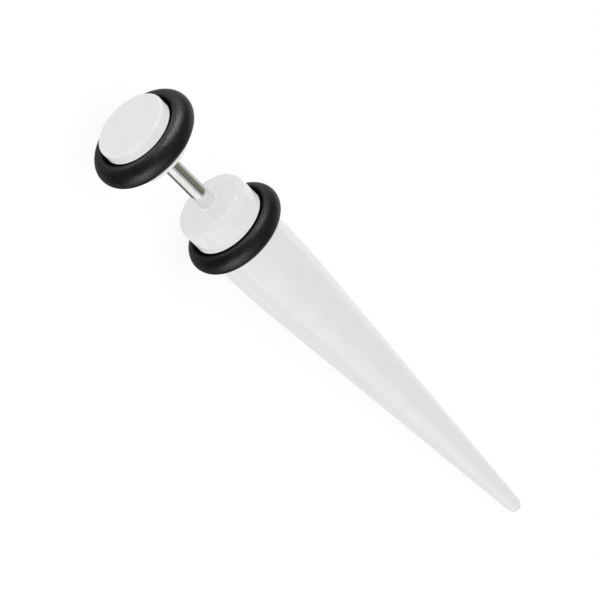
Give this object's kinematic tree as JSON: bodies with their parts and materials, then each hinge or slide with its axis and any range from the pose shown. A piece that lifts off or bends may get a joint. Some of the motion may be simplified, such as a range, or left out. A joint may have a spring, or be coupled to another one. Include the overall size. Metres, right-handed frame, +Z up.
{
  "type": "faux taper earring",
  "caption": "White cone-shaped fake-stretcher ear taper with a round head, a thin steel post and a screw-on front disc, each end held by a black rubber ring.",
  "frame": {"origin": "centre of the footprint of the lying earring, on the surface that it lies on", "axes": "+Z up; +X along the surface from the front disc to the tip of the taper; +Y to the left, seen from the disc; the earring's own axis lies in the XZ plane and falls 5.7 degrees towards the tip"},
  "size_m": [0.049, 0.0088, 0.0096],
  "materials": {
    "white_acrylic": "gloss",
    "polished_steel": "polished",
    "black_rubber": "satin"
  },
  "bodies": {
    "taper": {"taper_spike": "white_acrylic", "post": "polished_steel", "taper_o_ring": "black_rubber"},
    "cap_ring": {"disc_o_ring": "black_rubber"},
    "cap": {"front_disc": "white_acrylic"}
  },
  "joints": [
    {"name": "cap_travel", "type": "slide", "parent": "taper", "child": "cap_ring", "axis": [-0.9951, 0, 0.0993], "range_m": [0, 0.009]},
    {"name": "cap_turn", "type": "hinge", "parent": "cap_ring", "child": "cap", "pos_m": [-0.02241, 0, 0.00522], "axis": [-0.9951, 0, 0.0993], "range_deg": [0, 12960]}
  ],
  "couplings": [
    {"joint": "cap_turn", "follows": "cap_travel", "rad_per_m": 25133}
  ]
}
